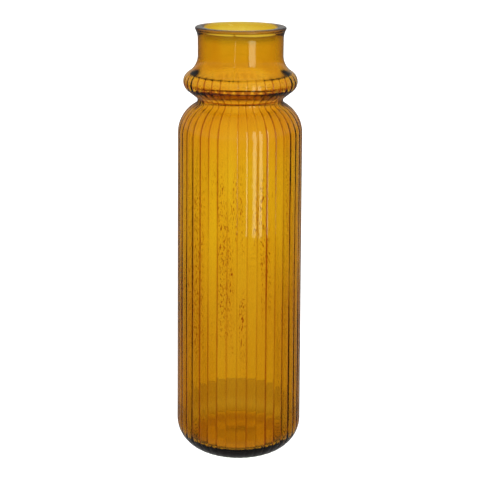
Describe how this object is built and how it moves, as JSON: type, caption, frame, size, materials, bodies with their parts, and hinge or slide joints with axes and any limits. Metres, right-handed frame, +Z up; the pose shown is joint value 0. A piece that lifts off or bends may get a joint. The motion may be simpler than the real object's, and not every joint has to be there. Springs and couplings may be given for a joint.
{
  "type": "ribbed glass vase",
  "caption": "Tall ribbed amber glass vase with a rounded heel, tight waist, ribbed collar bulge, plain neck and flared lip.",
  "frame": {"origin": "centre of the standing ring, on the surface that the vase stands on", "axes": "+Z up along the axis of the vase, -Y towards the front, +X to the right"},
  "size_m": [0.0974, 0.0974, 0.33],
  "materials": {
    "amber_glass": "clear amber recycled glass, glossy, with small seeds and cords"
  },
  "bodies": {
    "root": {"base_floor": "amber_glass", "heel": "amber_glass", "body_wall": "amber_glass", "shoulder": "amber_glass", "waist": "amber_glass", "collar": "amber_glass", "neck": "amber_glass", "rim_lip": "amber_glass"}
  },
  "joints": []
}
